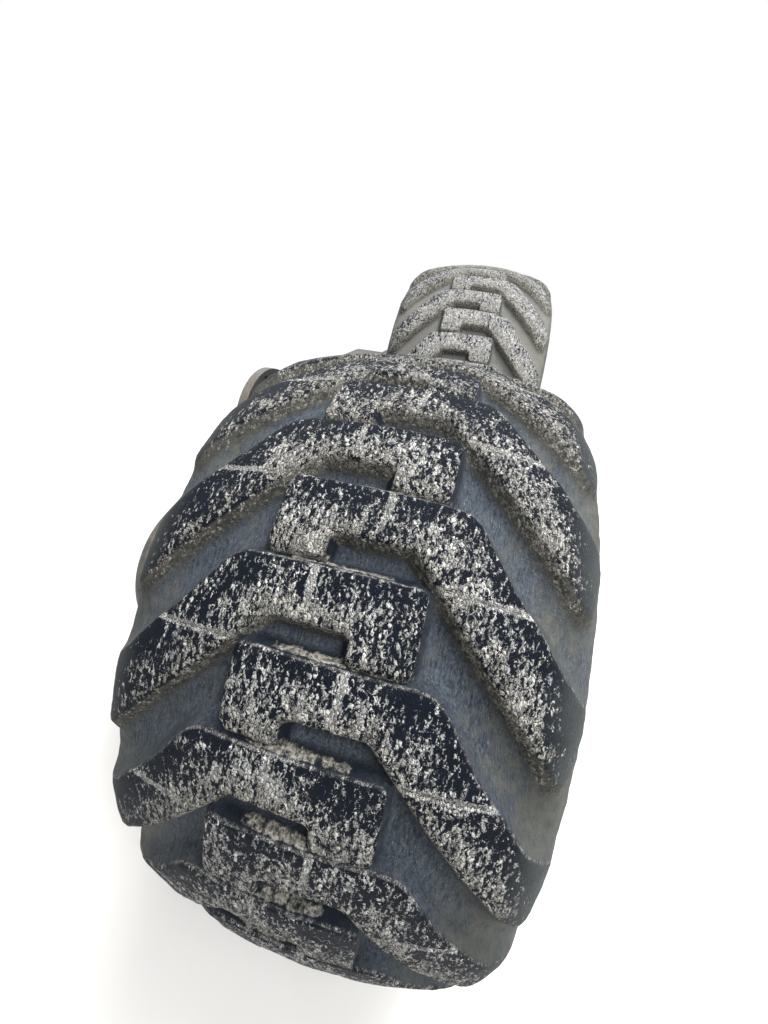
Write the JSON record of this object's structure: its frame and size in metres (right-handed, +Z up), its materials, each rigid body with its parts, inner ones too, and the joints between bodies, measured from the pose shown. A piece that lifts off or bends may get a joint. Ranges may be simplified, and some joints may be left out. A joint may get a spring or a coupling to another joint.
{
  "type": "forestry harvester bogie with wheels",
  "caption": "Right-hand oscillating bogie of a wheeled forestry harvester: cast gear case, planetary hubs and deep-lugged tyres, bolted on by the axle end flange.",
  "frame": {"origin": "centre of the axle end's bolting face, on the axis that the bogie swings about", "axes": "+X forward, +Y inboard along the axle away from the wheels, +Z up"},
  "size_m": [2.915, 1.146, 1.345],
  "materials": {
    "tyre_rubber": "worn rubber with dried mud",
    "rim_paint": "satin paint, dusty and chipped",
    "hub_paint": "satin paint over cast steel",
    "axle_paint": "satin paint over cast iron",
    "plain_steel": "zinc plated, dulled"
  },
  "bodies": {
    "axle": {"axle_end": "axle_paint"},
    "bogie": {"gear_case": "axle_paint", "case_cover": "axle_paint", "pivot_ring": "axle_paint", "end_caps": "axle_paint", "idler_caps": "axle_paint", "pivot_cap": "axle_paint", "oil_plugs": "plain_steel", "breather": "plain_steel", "hub_carriers": "axle_paint"},
    "wheel_rear": {"hub_rear": "hub_paint", "hub_cap_rear": "hub_paint", "disc_rear": "rim_paint", "wheel_nuts_rear": "plain_steel", "rim_rear": "rim_paint", "valve_rear": "plain_steel", "tyre_rear": "tyre_rubber"},
    "wheel_front": {"hub_front": "hub_paint", "hub_cap_front": "hub_paint", "disc_front": "rim_paint", "wheel_nuts_front": "plain_steel", "rim_front": "rim_paint", "valve_front": "plain_steel", "tyre_front": "tyre_rubber"}
  },
  "joints": [
    {"name": "bogie_swing", "type": "hinge", "parent": "axle", "child": "bogie", "pos_m": [0, 0, 0], "axis": [0, 1, 0], "range_deg": [-25, 25]},
    {"name": "wheel_rear_spin", "type": "hinge", "parent": "bogie", "child": "wheel_rear", "pos_m": [-0.785, -0.792, -0.075], "axis": [0, 1, 0], "continuous": true},
    {"name": "wheel_front_spin", "type": "hinge", "parent": "bogie", "child": "wheel_front", "pos_m": [0.785, -0.792, -0.075], "axis": [0, 1, 0], "continuous": true}
  ]
}
